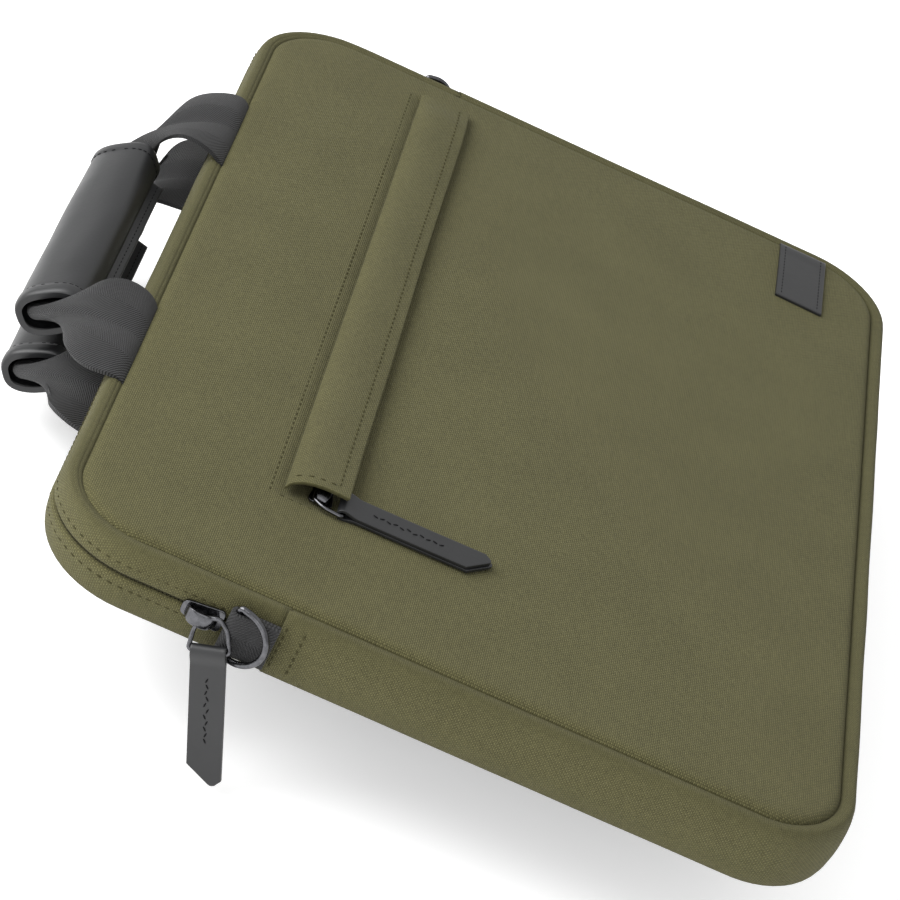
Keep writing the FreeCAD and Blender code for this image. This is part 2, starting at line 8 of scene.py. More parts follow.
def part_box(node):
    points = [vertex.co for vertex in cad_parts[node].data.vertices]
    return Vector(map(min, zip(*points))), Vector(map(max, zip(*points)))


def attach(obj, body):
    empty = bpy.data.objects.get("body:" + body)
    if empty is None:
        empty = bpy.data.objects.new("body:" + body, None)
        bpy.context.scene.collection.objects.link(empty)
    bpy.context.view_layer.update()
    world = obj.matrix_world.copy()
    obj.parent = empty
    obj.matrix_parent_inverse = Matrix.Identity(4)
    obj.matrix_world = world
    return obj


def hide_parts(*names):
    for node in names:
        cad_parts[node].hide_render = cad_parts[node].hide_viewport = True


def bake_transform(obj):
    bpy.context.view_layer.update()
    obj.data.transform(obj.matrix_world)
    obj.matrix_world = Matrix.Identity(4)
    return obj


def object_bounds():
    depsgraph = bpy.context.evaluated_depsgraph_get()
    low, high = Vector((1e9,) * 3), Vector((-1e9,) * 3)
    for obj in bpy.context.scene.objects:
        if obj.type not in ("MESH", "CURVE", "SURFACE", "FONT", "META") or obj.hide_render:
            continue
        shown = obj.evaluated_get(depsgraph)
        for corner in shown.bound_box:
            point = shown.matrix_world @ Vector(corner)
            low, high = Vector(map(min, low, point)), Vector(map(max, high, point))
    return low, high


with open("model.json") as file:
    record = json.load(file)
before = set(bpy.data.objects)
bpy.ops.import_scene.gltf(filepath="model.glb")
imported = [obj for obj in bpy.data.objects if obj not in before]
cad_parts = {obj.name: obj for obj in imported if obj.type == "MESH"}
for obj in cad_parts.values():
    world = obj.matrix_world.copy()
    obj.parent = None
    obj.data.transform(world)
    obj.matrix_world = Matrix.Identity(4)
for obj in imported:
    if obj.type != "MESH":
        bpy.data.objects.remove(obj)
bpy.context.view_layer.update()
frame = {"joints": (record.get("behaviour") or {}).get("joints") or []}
mm = 0.001
joints = {joint["name"]: joint for joint in frame["joints"]}

# the seam outline that the faces and the gusset share, read from the frame
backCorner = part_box("back_panel")[1]
halfWidth, halfHeight = backCorner.x, backCorner.y
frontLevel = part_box("front_panel")[1].z
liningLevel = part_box("front_lining")[0].z
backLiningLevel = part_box("back_lining")[1].z
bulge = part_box("bottom_gusset")[1].x - halfWidth
flapLow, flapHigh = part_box("storm_flap")
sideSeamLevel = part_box("bottom_gusset")[1].y
zipLevel = (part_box("back_zip_gusset")[1].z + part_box("front_zip_gusset")[0].z) / 2

shell = {"cornerRadius": 27 * mm, "creaseDrop": 3.0 * mm, "rollReach": 1.15 * mm, "dome": 0.6 * mm,
         "topSag": 1.8 * mm, "sagStart": 92 * mm, "sagReach": 44 * mm, "wobble": 0.35 * mm,
         "ripple": 0.25 * mm, "gussetThick": 1.1 * mm, "zipEdgeGap": 0.55 * mm, "foldHalf": 5 * mm}


def smoothStep(x):
    x = min(1, max(0, x))
    return x * x * (3 - 2 * x)


def seamPoint(s, offset):
    # a point beside the seam outline, s metres along it: up the left side first, then clockwise
    r = shell["cornerRadius"]
    w, h = halfWidth - r, halfHeight - r
    arc = math.pi / 2 * r
    runs = [(Vector((-halfWidth, -h)), Vector((0, 1)), 2 * h, Vector((-w, h))),
            (Vector((-w, halfHeight)), Vector((1, 0)), 2 * w, Vector((w, h))),
            (Vector((halfWidth, h)), Vector((0, -1)), 2 * h, Vector((w, -h))),
            (Vector((w, -halfHeight)), Vector((-1, 0)), 2 * w, Vector((-w, -h)))]
    s %= seamLength()
    for start, heading, length, centre in runs:
        outward = Vector((-heading.y, heading.x))
        if s <= length:
            return start + heading * s + outward * offset
        s -= length
        if s <= arc:
            turn = s / r
            return centre + (outward * math.cos(turn) + heading * math.sin(turn)) * (r + offset)
        s -= arc
    return seamPoint(0, offset)


def seamLength():
    r = shell["cornerRadius"]
    return 4 * (halfWidth + halfHeight - 2 * r) + 2 * math.pi * r


def leftAt(level):
    return level + halfHeight - shell["cornerRadius"]


def rightAt(level):
    r = shell["cornerRadius"]
    return 2 * (halfHeight - r) + math.pi * r + 2 * (halfWidth - r) + (halfHeight - r - level)


def settle(point):
    # the top edge is a little thinner than the rest, and nothing sewn is quite straight
    x, y, z = point
    sag = shell["topSag"] * smoothStep((y - shell["sagStart"]) / shell["sagReach"])
    drift = noise.noise(Vector((x * 14, y * 14, 3.1))) * shell["wobble"]
    return Vector((x, y, z - sag * z / frontLevel + drift * min(1, z / frontLevel)))


def doubleGrid(columns, rows):
    # two layers of one grid, joined at the rim; each vertex keeps its share along and across
    bm = bmesh.new()
    bmesh.ops.create_grid(bm, x_segments=columns, y_segments=rows, size=0.5)
    alongLayer = bm.verts.layers.float.new("along")
    acrossLayer = bm.verts.layers.float.new("across")
    for v in bm.verts:
        v[alongLayer], v[acrossLayer] = v.co.x + 0.5, v.co.y + 0.5
    made = bmesh.ops.extrude_face_region(bm, geom=bm.faces[:], use_keep_orig=True)
    inner = {g for g in made["geom"] if isinstance(g, bmesh.types.BMVert)}
    return bm, alongLayer, acrossLayer, inner


def gridPiece(name, columns, rows, place, thick):
    # a grid whose points are moved by place(u, v, depth) -> (point, (u, v) in metres)
    bm, alongLayer, acrossLayer, inner = doubleGrid(columns, rows)
    uvLayer = bm.loops.layers.uv.new("weave")
    flat = {}
    for v in bm.verts:
        v.co, flat[v] = place(v[alongLayer], v[acrossLayer], thick if v in inner else 0)
    for face in bm.faces:
        face.smooth = True
        for loop in face.loops:
            loop[uvLayer].uv = flat[loop.vert]
    bmesh.ops.remove_doubles(bm, verts=bm.verts[:], dist=1e-6)
    bmesh.ops.recalc_face_normals(bm, faces=bm.faces[:])
    return meshPiece(name, bm)


def meshPiece(name, bm):
    mesh = bpy.data.meshes.new(name)
    bm.to_mesh(mesh)
    bm.free()
    piece = bpy.data.objects.new(name, mesh)
    bpy.context.collection.objects.link(piece)
    return piece


def addBall(bm, place):
    bmesh.ops.create_icosphere(bm, subdivisions=1, radius=1, matrix=place)


def roundEdges(bm, edges, offset, segments=2):
    bmesh.ops.bevel(bm, geom=list(edges), offset=offset, segments=segments, affect="EDGES", profile=0.5,
                    material=-1, clamp_overlap=True)


def dress(piece, material):
    piece.data.materials.append(material)
    return piece


def acrossFold(piece):
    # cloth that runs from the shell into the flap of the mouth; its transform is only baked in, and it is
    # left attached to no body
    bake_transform(piece)


def setSocket(tree, socket, value):
    if isinstance(value, bpy.types.NodeSocket):
        tree.links.new(value, socket)
    else:
        socket.default_value = value


def addNode(tree, kind, **inputs):
    node = tree.nodes.new("ShaderNode" + kind)
    for key, value in inputs.items():
        setSocket(tree, node.inputs[key], value)
    return node


def mathNode(tree, operation, a, b=0.0, c=0.0):
    node = tree.nodes.new("ShaderNodeMath")
    node.operation = operation
    for socket, value in zip(node.inputs, (a, b, c)):
        setSocket(tree, socket, value)
    return node.outputs[0]


def blankMaterial(name, roughness, sheen=0.0, metallic=0.0, gloss=0.5):
    material = bpy.data.materials.new(name)
    material.use_nodes = True
    tree = material.node_tree
    shader = tree.nodes["Principled BSDF"]
    shader.inputs["Roughness"].default_value = roughness
    shader.inputs["Sheen Weight"].default_value = sheen
    shader.inputs["Sheen Roughness"].default_value = 0.5
    shader.inputs["Metallic"].default_value = metallic
    shader.inputs["Specular IOR Level"].default_value = gloss
    return material, tree, shader


def mixColours(tree, factor, dark, bright):
    node = tree.nodes.new("ShaderNodeMix")
    node.data_type = "RGBA"
    tree.links.new(factor, node.inputs[0])
    node.inputs[6].default_value = (*dark, 1)
    node.inputs[7].default_value = (*bright, 1)
    return node.outputs[2]


def clothMaps(tree):
    uv = tree.nodes.new("ShaderNodeUVMap")
    uv.uv_map = "weave"
    split = addNode(tree, "SeparateXYZ", Vector=uv.outputs[0])
    return uv.outputs[0], split.outputs[0], split.outputs[1]


def bumpInto(tree, shader, height, strength, distance):
    bump = addNode(tree, "Bump", Strength=strength, Distance=distance, Height=height)
    tree.links.new(bump.outputs[0], shader.inputs["Normal"])


canvas = {"dark": (0.040, 0.037, 0.0150), "bright": (0.142, 0.133, 0.058), "pitch": 0.66 * mm,
          "slub": 420.0, "broad": 26.0, "bump": 0.75, "depth": 0.35 * mm, "roughness": 0.92, "sheen": 0.03}


def canvasMaterial(name, look):
    material, tree, shader = blankMaterial(name, look["roughness"], look["sheen"], gloss=0.2)
    uv, u, v = clothMaps(tree)
    scale = math.pi / look["pitch"]
    warp = mathNode(tree, "SINE", mathNode(tree, "MULTIPLY", u, scale))
    weft = mathNode(tree, "SINE", mathNode(tree, "MULTIPLY", v, scale))
    over = mathNode(tree, "ABSOLUTE", mathNode(tree, "MULTIPLY", warp, weft))
    column = mathNode(tree, "FLOOR", mathNode(tree, "MULTIPLY", u, 1 / look["pitch"]))
    row = mathNode(tree, "FLOOR", mathNode(tree, "MULTIPLY", v, 1 / look["pitch"]))
    cell = addNode(tree, "CombineXYZ", X=column, Y=row)
    speck = addNode(tree, "TexWhiteNoise", Vector=cell.outputs[0])
    slub = addNode(tree, "TexNoise", Vector=uv, Scale=look["slub"], Detail=3.0, Roughness=0.6)
    broad = addNode(tree, "TexNoise", Vector=uv, Scale=look["broad"], Detail=4.0, Roughness=0.55)
    twill = mathNode(tree, "MULTIPLY", warp, weft)
    tone = mathNode(tree, "MULTIPLY_ADD", over, 0.5, mathNode(tree, "MULTIPLY", speck.outputs["Value"], 0.16))
    tone = mathNode(tree, "MULTIPLY_ADD", twill, 0.26, tone)
    tone = mathNode(tree, "MULTIPLY_ADD", slub.outputs["Fac"], 0.34, tone)
    tone = mathNode(tree, "MULTIPLY_ADD", broad.outputs["Fac"], 0.3, mathNode(tree, "SUBTRACT", tone, 0.1))
    tree.links.new(mixColours(tree, tone, look["dark"], look["bright"]), shader.inputs["Base Color"])
    height = mathNode(tree, "MULTIPLY_ADD", slub.outputs["Fac"], 0.6, over)
    bumpInto(tree, shader, height, look["bump"], look["depth"])
    return material


webbing = {"dark": (0.005, 0.005, 0.0054), "bright": (0.0215, 0.0216, 0.0228), "pitch": 1.15 * mm,
           "band": 12.5 * mm, "fuzz": 300.0, "bump": 0.8, "depth": 0.4 * mm, "roughness": 0.8, "sheen": 0.05}


def webbingMaterial(name, look):
    # herringbone: slanted ribs that turn back at each band across the width
    material, tree, shader = blankMaterial(name, look["roughness"], look["sheen"])
    uv, u, v = clothMaps(tree)
    folded = mathNode(tree, "PINGPONG", v, look["band"])
    slant = mathNode(tree, "ADD", u, mathNode(tree, "MULTIPLY", folded, 0.75))
    ribs = mathNode(tree, "SINE", mathNode(tree, "MULTIPLY", slant, 2 * math.pi / look["pitch"]))
    ribs = mathNode(tree, "MULTIPLY_ADD", ribs, 0.5, 0.5)
    yarn = mathNode(tree, "SINE", mathNode(tree, "MULTIPLY", v, 2 * math.pi / (look["pitch"] * 0.8)))
    yarn = mathNode(tree, "MULTIPLY_ADD", yarn, 0.5, 0.5)
    fuzz = addNode(tree, "TexNoise", Vector=uv, Scale=look["fuzz"], Detail=4.0, Roughness=0.65)
    tone = mathNode(tree, "MULTIPLY_ADD", ribs, 0.45, mathNode(tree, "MULTIPLY", fuzz.outputs["Fac"], 0.6))
    tone = mathNode(tree, "MULTIPLY_ADD", yarn, 0.14, mathNode(tree, "SUBTRACT", tone, 0.2))
    tree.links.new(mixColours(tree, tone, look["dark"], look["bright"]), shader.inputs["Base Color"])
    height = mathNode(tree, "MULTIPLY_ADD", yarn, 0.35, ribs)
    bumpInto(tree, shader, height, look["bump"], look["depth"])
    return material


leather = {"dark": (0.007, 0.0073, 0.0079), "bright": (0.0178, 0.0183, 0.0195), "grain": 900.0, "haze": 60.0,
           "bump": 0.16, "depth": 0.12 * mm, "roughness": 0.44}


def leatherMaterial(name, look):
    material, tree, shader = blankMaterial(name, look["roughness"])
    place = tree.nodes.new("ShaderNodeTexCoord").outputs["Object"]
    pores = addNode(tree, "TexVoronoi", Vector=place, Scale=look["grain"])
    pores.feature = "SMOOTH_F1"
    haze = addNode(tree, "TexNoise", Vector=place, Scale=look["haze"], Detail=5.0, Roughness=0.6)
    tone = mathNode(tree, "MULTIPLY_ADD", haze.outputs["Fac"], 1.2, -0.2)
    tree.links.new(mixColours(tree, tone, look["dark"], look["bright"]), shader.inputs["Base Color"])
    worn = mathNode(tree, "MULTIPLY_ADD", haze.outputs["Fac"], 0.22, look["roughness"] - 0.11)
    tree.links.new(worn, shader.inputs["Roughness"])
    height = mathNode(tree, "MULTIPLY_ADD", haze.outputs["Fac"], 0.8, pores.outputs["Distance"])
    bumpInto(tree, shader, height, look["bump"], look["depth"])
    return material


gunmetal = {"dark": (0.045, 0.046, 0.05), "bright": (0.16, 0.16, 0.17), "smear": 700.0, "roughness": 0.24}


def metalMaterial(name, look):
    material, tree, shader = blankMaterial(name, look["roughness"], metallic=1.0)
    place = tree.nodes.new("ShaderNodeTexCoord").outputs["Object"]
    smear = addNode(tree, "TexNoise", Vector=place, Scale=look["smear"], Detail=4.0, Roughness=0.6)
    tree.links.new(mixColours(tree, smear.outputs["Fac"], look["dark"], look["bright"]),
                   shader.inputs["Base Color"])
    rough = mathNode(tree, "MULTIPLY_ADD", smear.outputs["Fac"], 0.2, look["roughness"] - 0.1)
    tree.links.new(rough, shader.inputs["Roughness"])
    bumpInto(tree, shader, smear.outputs["Fac"], 0.05, 0.05 * mm)
    return material


def threadMaterial(name, dark, bright):
    material, tree, shader = blankMaterial(name, 0.85, gloss=0.1)
    place = tree.nodes.new("ShaderNodeTexCoord").outputs["Object"]
    twist = addNode(tree, "TexNoise", Vector=place, Scale=2400.0, Detail=2.0)
    tree.links.new(mixColours(tree, twist.outputs["Fac"], dark, bright), shader.inputs["Base Color"])
    bumpInto(tree, shader, twist.outputs["Fac"], 0.3, 0.1 * mm)
    return material


canvasCloth = canvasMaterial("oliveCanvas", canvas)
webCloth = webbingMaterial("herringboneWebbing", webbing)
blackLeather = leatherMaterial("blackLeather", leather)
darkMetal = metalMaterial("gunmetal", gunmetal)
liningCloth = canvasMaterial("liningCloth", {**canvas, "dark": (0.012, 0.012, 0.013),
                                             "bright": (0.04, 0.04, 0.043), "pitch": 0.5 * mm, "bump": 0.25})
tapeCloth = canvasMaterial("zipTape", {**canvas, "dark": (0.03, 0.028, 0.013),
                                       "bright": (0.07, 0.066, 0.033), "pitch": 0.6 * mm})
oliveThread = threadMaterial("oliveThread", (0.03, 0.027, 0.011), (0.06, 0.055, 0.024))
blackThread = threadMaterial("blackThread", (0.004, 0.004, 0.004), (0.015, 0.015, 0.016))
print("materials made")


# the padded faces
faceGrid = {"columns": 150, "rows": 170, "crowding": 1.35}


def facePoint(u, v):
    # a square grid pulled to the rounded outline; also the distance from the seam
    def crowd(t):
        t = 2 * t - 1
        return math.copysign(1 - (1 - abs(t)) ** faceGrid["crowding"], t)
    x, y = crowd(u) * halfWidth, crowd(v) * halfHeight
    r = shell["cornerRadius"]
    a, b = (abs(x) - halfWidth + r) / r, (abs(y) - halfHeight + r) / r
    edge = min(halfWidth - abs(x), halfHeight - abs(y))
    if a > 0 and b > 0:
        across, along = a * math.sqrt(1 - b * b / 2), b * math.sqrt(1 - a * a / 2)
        x = math.copysign(halfWidth - r + r * across, x)
        y = math.copysign(halfHeight - r + r * along, y)
        edge = r * (1 - math.hypot(across, along))
    return x, y, max(0, edge)


def pocketDip(x, y):
    # the panel sinks a little under the storm flap, and is pulled down along the seam that holds it
    ends = smoothStep((x - flapLow.x + 3 * mm) / (3 * mm)) * smoothStep((flapHigh.x + 2 * mm - x) / (3 * mm))
    seam = 1.0 * mm * math.exp(-((y - flapHigh.y) / (1.3 * mm)) ** 2)
    under = smoothStep((y - flapLow.y) / (4 * mm)) * smoothStep((flapHigh.y + 1 * mm - y) / (3 * mm))
    return ends * max(seam, 0.8 * mm * under)


cover = {"columns": 72, "rows": 52, "frames": 20, "pressure": 4.0, "slack": -0.015, "mass": 0.3,
         "tension": 12.0, "bending": 0.3, "highest": 0.8 * mm}


def simulatedCover():
    # a canvas sheet cut a little too large, sewn down at its border and along the storm flap's seam, and
    # pressed out from inside; gives its height at each grid point, scaled down to what stiff padding allows
    bm = bmesh.new()
    bmesh.ops.create_grid(bm, x_segments=cover["columns"], y_segments=cover["rows"], size=1)
    for vert in bm.verts:
        vert.co = Vector((vert.co.x * halfWidth, vert.co.y * halfHeight, 0))
    sheet = meshPiece("simulatedCover", bm)
    pinned = sheet.vertex_groups.new(name="pinned")
    spacing = 2 * halfHeight / cover["rows"]
    for vert in sheet.data.vertices:
        x, y = vert.co.x, vert.co.y
        border = min(halfWidth - abs(x), halfHeight - abs(y)) < 0.6 * spacing
        onSeam = abs(y - flapHigh.y) < 0.6 * spacing and flapLow.x < x < flapHigh.x
        if border or onSeam:
            pinned.add([vert.index], 1, "REPLACE")
    cloth = sheet.modifiers.new("padding", "CLOTH")
    settings = cloth.settings
    settings.quality = 6
    settings.mass = cover["mass"]
    settings.tension_stiffness = cover["tension"]
    settings.compression_stiffness = cover["tension"]
    settings.bending_stiffness = cover["bending"]
    settings.shrink_min = cover["slack"]
    settings.vertex_group_mass = "pinned"
    settings.use_pressure = True
    settings.uniform_pressure_force = cover["pressure"]
    settings.effector_weights.gravity = 0
    cloth.point_cache.frame_start = 1
    cloth.point_cache.frame_end = cover["frames"]
    scene = bpy.context.scene
    for frameNumber in range(1, cover["frames"] + 1):
        scene.frame_set(frameNumber)
    result = sheet.evaluated_get(bpy.context.evaluated_depsgraph_get()).data
    highest = max(abs(vert.co.z) for vert in result.vertices)
    share = min(1, cover["highest"] / max(highest, 1e-9))
    heights = {}
    for flat, vert in zip(sheet.data.vertices, result.vertices):
        column = round((flat.co.x / halfWidth + 1) / 2 * cover["columns"])
        row = round((flat.co.y / halfHeight + 1) / 2 * cover["rows"])
        heights[column, row] = vert.co.z * share
    print("cover simulated, highest", round(highest / mm, 2), "mm")
    bpy.data.objects.remove(sheet)
    scene.frame_set(1)
    return heights


coverHeights = simulatedCover()


def coverRise(x, y):
    if not coverHeights:
        return 0
    across = min(0.9999, max(0, (x / halfWidth + 1) / 2)) * cover["columns"]
    along = min(0.9999, max(0, (y / halfHeight + 1) / 2)) * cover["rows"]
    column, row = int(across), int(along)
    a, b = across - column, along - row
    near = coverHeights[column, row] * (1 - a) + coverHeights[column + 1, row] * a
    far = coverHeights[column, row + 1] * (1 - a) + coverHeights[column + 1, row + 1] * a
    return near * (1 - b) + far * b


def paddedFace(name, outerLevel, innerLevel, way):
    # way is 1 for the front, whose outside is up, and -1 for the back
    def place(u, v, depth):
        x, y, edge = facePoint(u, v)
        if depth:
            inset = 1 - smoothStep(edge / (4 * mm))
            return settle((x, y, innerLevel + inset * (outerLevel - innerLevel) * 0.5)), (x, y)
        crease = shell["creaseDrop"] * math.exp(-edge / shell["rollReach"])
        dome = shell["dome"] * (1 - (x / halfWidth) ** 2) * (1 - (y / halfHeight) ** 2)
        ripple = noise.noise(Vector((x * 22, y * 22, 7.7 * way))) * shell["ripple"] * min(1, edge / (12 * mm))
        dip = pocketDip(x, y) if way > 0 else 0
        rise = coverRise(x, y)
        return settle((x, y, outerLevel + way * (dome - crease + ripple - dip + rise))), (x, y)
    piece = gridPiece(name, faceGrid["columns"], faceGrid["rows"], place, thick=1)
    dress(piece, canvasCloth)
    piece.data.materials.append(liningCloth)
    for face in piece.data.polygons:
        if face.normal.z * way < -0.3:
            face.material_index = 1
    return piece


frontFace = paddedFace("frontPaddedFace", frontLevel, liningLevel, 1)
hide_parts("front_panel", "front_foam", "front_lining", "front_top_panel", "front_top_foam",
            "front_top_lining", "pocket_bag")
acrossFold(frontFace)
backFace = paddedFace("backPaddedFace", shell["dome"], backLiningLevel, -1)
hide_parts("back_panel", "back_foam", "back_lining")
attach(backFace, "shell")
print("padded faces made")


# the gusset and the main zip
creaseHigh = frontLevel - shell["creaseDrop"]
creaseLow = shell["creaseDrop"] * 0.6
gusset = {"turnIn": math.radians(36), "fullness": 0.72, "edgeRoll": 0.8 * mm, "rollWide": 0.7 * mm,
          "pucker": 0.45 * mm, "columnWide": 3.2 * mm}
gussetMiddle = (creaseHigh + creaseLow) / 2
gussetHalf = (creaseHigh - creaseLow) / 2 / math.cos(gusset["turnIn"])
gussetTuck = math.sin(gusset["turnIn"]) ** gusset["fullness"]


def gussetSection(turn):
    # the band's section from crease to crease: how far it stands out of the seam, and how high it is
    c = math.cos(turn)
    full = math.copysign(abs(c) ** gusset["fullness"], c)
    return bulge * (full + gussetTuck) / (1 + gussetTuck), gussetMiddle + gussetHalf * math.sin(turn)


def turnAt(z):
    return math.asin(min(1, max(-1, (z - gussetMiddle) / gussetHalf)))


def gussetOffset(z):
    return gussetSection(turnAt(z))[0]


def gussetPiece(name, start, end, turnLow, turnHigh, rows, spare=0.0, besideZip=False):
    def place(u, v, depth):
        s = start + (end - start) * u
        turn = turnLow + (turnHigh - turnLow) * v
        out, z = gussetSection(turn)
        if besideZip:
            fromZip = abs(z - zipLevel) - shell["zipEdgeGap"]
            out -= gusset["edgeRoll"] * math.exp(-(fromZip / gusset["rollWide"]) ** 2)
        pucker = noise.noise(Vector((s * 34, z * 70, 1.3))) * gusset["pucker"] * math.cos(turn / 1.3) ** 2
        p = seamPoint(s, out + spare + pucker - depth)
        return settle((p.x, p.y, z - depth * 0.4 * math.sin(turn))), (s, gussetHalf * turn)
    columns = round((end - start) / gusset["columnWide"])
    piece = gridPiece(name, columns, rows, place, thick=shell["gussetThick"])
    return dress(piece, canvasCloth)


edgeTurn = math.pi / 2 + gusset["turnIn"]
gapHalf = shell["zipEdgeGap"]
lap = 0.6 * mm
bottomBand = gussetPiece("bottomGusset", rightAt(sideSeamLevel + lap),
                         leftAt(sideSeamLevel + lap) + seamLength(), -edgeTurn, edgeTurn, 30, spare=lap)
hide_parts("bottom_gusset")
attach(bottomBand, "shell")
backStrip = gussetPiece("backZipStrip", leftAt(sideSeamLevel), rightAt(sideSeamLevel), -edgeTurn,
                        turnAt(zipLevel - gapHalf), 24, besideZip=True)
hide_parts("back_zip_gusset")
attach(backStrip, "shell")
frontStrip = gussetPiece("frontZipStrip", leftAt(sideSeamLevel), rightAt(sideSeamLevel),
                         turnAt(zipLevel + gapHalf), edgeTurn, 24, besideZip=True)
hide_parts("front_zip_gusset", "front_gusset_ends")
acrossFold(frontStrip)

zipBand = {"sink": 1.5 * mm, "width": 5.5 * mm, "thick": 0.5 * mm, "columns": 190, "toothPitch": 1.3 * mm,
           "toothLong": 0.7 * mm, "toothTall": 1.0 * mm, "toothDeep": 0.8 * mm, "toothStand": 0.2 * mm}


def zipTape(name, low, high):
    def place(u, v, depth):
        s = leftAt(sideSeamLevel) + (rightAt(sideSeamLevel) - leftAt(sideSeamLevel)) * u
        z = low + (high - low) * v
        p = seamPoint(s, bulge - zipBand["sink"] - depth)
        return settle((p.x, p.y, z)), (s, z)
    piece = gridPiece(name, zipBand["columns"], 2, place, thick=zipBand["thick"])
    return dress(piece, tapeCloth)


def zipTeeth(name, way, shift):
    # the coil's loops of one half, each turned along the zip
    bm = bmesh.new()
    start, end = leftAt(sideSeamLevel), rightAt(sideSeamLevel)
    offset = bulge - zipBand["sink"] + zipBand["toothStand"]
    count = int((end - start) / zipBand["toothPitch"])
    for n in range(count):
        s = start + (n + shift) * zipBand["toothPitch"]
        p, q = seamPoint(s, offset), seamPoint(s + mm, offset)
        centre = settle((p.x, p.y, zipLevel + way * 0.25 * mm))
        turn = Matrix.Rotation(math.atan2(q.y - p.y, q.x - p.x), 4, "Z")
        size = (zipBand["toothLong"] / 2, zipBand["toothDeep"] / 2, zipBand["toothTall"] / 2, 1)
        addBall(bm, Matrix.Translation(centre) @ turn @ Matrix.Diagonal(size))
    return dress(meshPiece(name, bm), tapeCloth)


backTape = zipTape("backZipTape", zipLevel - zipBand["width"], zipLevel - 0.05 * mm)
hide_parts("back_zip_tape")
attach(backTape, "shell")
frontTape = zipTape("frontZipTape", zipLevel + 0.05 * mm, zipLevel + zipBand["width"])
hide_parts("front_zip_tape")
acrossFold(frontTape)
backTeeth = zipTeeth("backZipCoil", -1, 0.25)
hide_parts("back_zip_coil")
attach(backTeeth, "shell")
frontTeeth = zipTeeth("frontZipCoil", 1, 0.75)
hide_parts("front_zip_coil")
acrossFold(frontTeeth)
print("gusset and main zip made")


def stitchRun(name, curve, start, end, pitch=3.0 * mm, share=0.72, radius=0.28 * mm):
    # small threads along curve(s), each a stretched ball
    bm = bmesh.new()
    count = max(1, int((end - start) / pitch))
    for n in range(count):
        s = start + (n + 0.5) * (end - start) / count
        here, ahead = curve(s), curve(s + 0.2 * mm)
        turn = (ahead - here).to_track_quat("X", "Z").to_matrix().to_4x4()
        size = Matrix.Diagonal((pitch * share / 2, radius, radius, 1))
        addBall(bm, Matrix.Translation(here) @ turn @ size)
    for face in bm.faces:
        face.smooth = True
    return meshPiece(name, bm)


def onGusset(z):
    def curve(s):
        p = seamPoint(s, gussetOffset(z))
        return settle((p.x, p.y, z))
    return curve


stitch = {"fromZip": 4.2 * mm, "fromSeam": (1.6 * mm, 7.5 * mm), "seamPitch": 2.6 * mm}
fineStitch = {"pitch": 2.4 * mm, "radius": 0.2 * mm}
backRun = stitchRun("backZipStitches", onGusset(zipLevel - stitch["fromZip"]), leftAt(sideSeamLevel),
                    rightAt(sideSeamLevel))
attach(dress(backRun, oliveThread), "shell")
frontRun = stitchRun("frontZipStitches", onGusset(zipLevel + stitch["fromZip"]), leftAt(sideSeamLevel),
                     rightAt(sideSeamLevel))
acrossFold(dress(frontRun, oliveThread))
for side, seam in (("left", leftAt), ("right", rightAt)):
    for n, gap in enumerate(stitch["fromSeam"]):
        def upAndOver(z, seam=seam, gap=gap):
            p = seamPoint(seam(sideSeamLevel + lap - gap), gussetOffset(z) + lap)
            return settle((p.x, p.y, z))
        run = stitchRun(f"{side}SeamStitches{n}", upAndOver, creaseLow + 1.5 * mm, creaseHigh - 1 * mm,
                        pitch=stitch["seamPitch"])
        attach(dress(run, oliveThread), "shell")
print("gusset stitches made")


def sheetPiece(name, columns, rows, surface, flat, thick, closed=False, rim=0.0, flip=False):
    # surface(u, v) gives the outer side; the thickness goes inwards, against its normal
    way = -1 if flip else 1
    bm, alongLayer, acrossLayer, inner = doubleGrid(columns, rows)
    if closed:
        walls = [f for f in bm.faces if len({v in inner for v in f.verts}) == 2
                 and len({round(v[alongLayer], 6) for v in f.verts}) == 1]
        bmesh.ops.delete(bm, geom=walls, context="FACES")
    uvLayer = bm.loops.layers.uv.new("weave")
    where = {}
    step = 1e-3
    for v in bm.verts:
        a, b = v[alongLayer], v[acrossLayer]
        where[v] = flat(a, b)
        here = surface(a, b)
        if v in inner:
            low, high = (a - step, a + step) if closed else (max(0, a - step), min(1, a + step))
            alongWay = surface(high % 1 if closed else high, b) - surface(low % 1 if closed else low, b)
            acrossWay = surface(a, min(1, b + step)) - surface(a, max(0, b - step))
            here = here - alongWay.cross(acrossWay).normalized() * thick * way
        v.co = here
    walls = []
    for face in bm.faces:
        face.smooth = len({v in inner for v in face.verts}) == 1
        if not face.smooth:
            walls.append(face)
        for loop in face.loops:
            loop[uvLayer].uv = where[loop.vert]
    if closed:
        for face in bm.faces:
            spots = [loop[uvLayer].uv.x for loop in face.loops]
            wide = flat(1, 0)[0] - flat(0, 0)[0]
            for loop in face.loops:
                if max(spots) - loop[uvLayer].uv.x > wide / 2:
                    loop[uvLayer].uv.x += wide
    bmesh.ops.remove_doubles(bm, verts=bm.verts[:], dist=1e-7)
    bmesh.ops.recalc_face_normals(bm, faces=bm.faces[:])
    if rim:
        walls = [f for f in walls if f.is_valid]
        edges = {e for f in walls for e in f.edges if any(g.smooth for g in e.link_faces)}
        roundEdges(bm, edges, rim)
    return meshPiece(name, bm)


def frontSurface(x, y):
    # the front face's height beside the flap, label and stitches
    edge = min(halfWidth - abs(x), halfHeight - abs(y))
    crease = shell["creaseDrop"] * math.exp(-max(0, edge) / shell["rollReach"])
    dome = shell["dome"] * (1 - (x / halfWidth) ** 2) * (1 - (y / halfHeight) ** 2)
    return settle((x, y, frontLevel + dome - crease - pocketDip(x, y) + coverRise(x, y))).z


